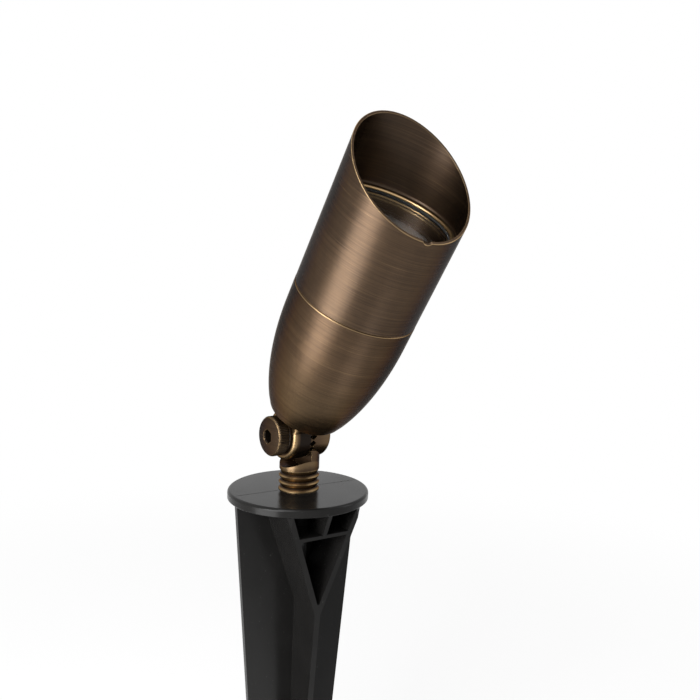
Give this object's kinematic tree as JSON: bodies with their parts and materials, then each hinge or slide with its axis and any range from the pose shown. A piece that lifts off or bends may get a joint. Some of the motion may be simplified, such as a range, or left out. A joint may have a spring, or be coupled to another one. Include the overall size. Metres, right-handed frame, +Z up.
{
  "type": "garden spike spotlight",
  "caption": "Bullet-shaped outdoor spotlight with a slant-cut hood, on a toothed tilting knuckle and a ribbed ground spike.",
  "frame": {"origin": "on the stem's axis at the underside of the spike's flange, which is the ground line", "axes": "+Z up along the stem, X along the knuckle's pivot with the screw's head at -X, head leaning towards -Y"},
  "size_m": [0.0738, 0.1336, 0.403],
  "materials": {
    "bronze_body": "antique bronze on brass, brushed around the axis",
    "bronze_hood": "antique bronze on brass, brushed around the axis",
    "bronze_knuckle": "antique bronze on cast brass, worn bright at the edges",
    "bronze_screw": "antique bronze on brass, turned face and knurled rim",
    "black_plastic": "semi-gloss moulded",
    "clear_glass": "clear, tempered",
    "black_rubber": "matt",
    "stainless": "plain",
    "brass_plain": "plain",
    "lamp_aluminium": "satin",
    "clear_plastic": "clear, domed",
    "board_white": "matt",
    "phosphor": "satin",
    "white_plastic": "matt",
    "ceramic": "unglazed",
    "lead_sleeve": "silicone sleeve"
  },
  "bodies": {
    "spike": {"ground_spike": "black_plastic"},
    "stem": {"lower_knuckle": "bronze_knuckle", "knuckle_nut": "brass_plain", "pivot_o_ring": "black_rubber"},
    "screw_washer": {"pivot_washer": "stainless"},
    "thumb_screw": {"thumb_screw": "bronze_screw"},
    "head": {"upper_knuckle": "bronze_knuckle", "hub_gasket": "black_rubber", "hub_locknut": "brass_plain", "wire_seal": "black_rubber", "lead_wires": "lead_sleeve", "body_housing": "bronze_body", "housing_o_rings": "black_rubber", "lamp_socket": "ceramic", "socket_contacts": "brass_plain", "socket_bracket": "stainless", "bracket_screws": "stainless", "holder_screws": "stainless", "lamp_shell": "lamp_aluminium", "lamp_optic": "clear_plastic", "lamp_led_board": "board_white", "lamp_leds": "phosphor", "lamp_driver_case": "white_plastic", "lamp_base": "white_plastic", "lamp_pins": "brass_plain"},
    "lens_pack": {"lens": "clear_glass", "lens_gasket": "black_rubber"},
    "hood": {"hood": "bronze_hood", "lens_retaining_ring": "brass_plain"}
  },
  "joints": [
    {"name": "stem_swivel", "type": "hinge", "parent": "spike", "child": "stem", "pos_m": [0, 0, 0], "axis": [0, 0, 1], "range_deg": [-180, 180]},
    {"name": "head_tilt", "type": "hinge", "parent": "stem", "child": "head", "pos_m": [0, 0, 0.0338], "axis": [1, 0, 0], "range_deg": [-117.73, 52.27]},
    {"name": "screw_travel", "type": "slide", "parent": "stem", "child": "screw_washer", "axis": [-1, 0, 0], "range_m": [0, 0.0025]},
    {"name": "thumb_screw_turn", "type": "hinge", "parent": "screw_washer", "child": "thumb_screw", "pos_m": [0, 0, 0.0338], "axis": [-1, 0, 0], "range_deg": [0, 722]},
    {"name": "hood_travel", "type": "slide", "parent": "head", "child": "lens_pack", "axis": [0, -0.5406, 0.8413], "range_m": [0, 0.0061]},
    {"name": "hood_turn", "type": "hinge", "parent": "lens_pack", "child": "hood", "pos_m": [-0.0031, 0, 0.0338], "axis": [0, -0.5406, 0.8413], "range_deg": [0, 720]}
  ],
  "couplings": [
    {"joint": "thumb_screw_turn", "follows": "screw_travel", "rad_per_m": 5026.5},
    {"joint": "hood_travel", "follows": "hood_turn", "m_per_rad": 0.00047746}
  ]
}
